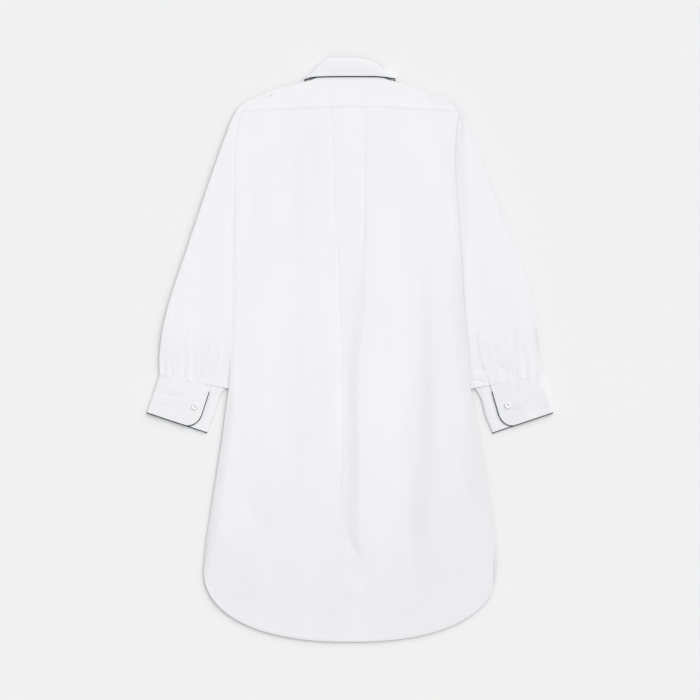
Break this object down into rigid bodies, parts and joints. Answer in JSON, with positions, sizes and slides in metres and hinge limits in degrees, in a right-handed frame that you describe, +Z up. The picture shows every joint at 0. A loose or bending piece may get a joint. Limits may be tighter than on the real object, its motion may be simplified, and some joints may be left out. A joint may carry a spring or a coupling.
{
  "type": "nightshirt",
  "caption": "Long cotton nightshirt with a piped collar and cuffs, buttoned and laid flat on its front.",
  "frame": {"origin": "middle of the outline in plan, on the surface that the garment lies on", "axes": "+Y towards the collar, +Z up out of the back, +X towards the right of the back view"},
  "size_m": [0.7526, 1.0783, 0.0083],
  "materials": {
    "cotton": "matt plain weave, bleached white",
    "piping": "matt navy bias cord",
    "button": "soft gloss shell"
  },
  "bodies": {
    "root": {"back_panel": "cotton", "yoke": "cotton", "front_left": "cotton", "front_right": "cotton", "front_band_left": "cotton", "front_band_right": "cotton", "sleeve_left": "cotton", "sleeve_right": "cotton", "sleeve_placket_left": "cotton", "sleeve_placket_right": "cotton", "cuff_left": "cotton", "cuff_right": "cotton", "collar_leaf": "cotton", "collar_stand": "cotton", "collar_piping": "piping", "cuff_piping_left": "piping", "cuff_piping_right": "piping", "cuff_button_left": "button", "cuff_button_right": "button", "front_button_1": "button", "front_button_2": "button", "front_button_3": "button", "front_button_4": "button", "front_button_5": "button", "front_button_6": "button", "front_button_7": "button"}
  },
  "joints": []
}
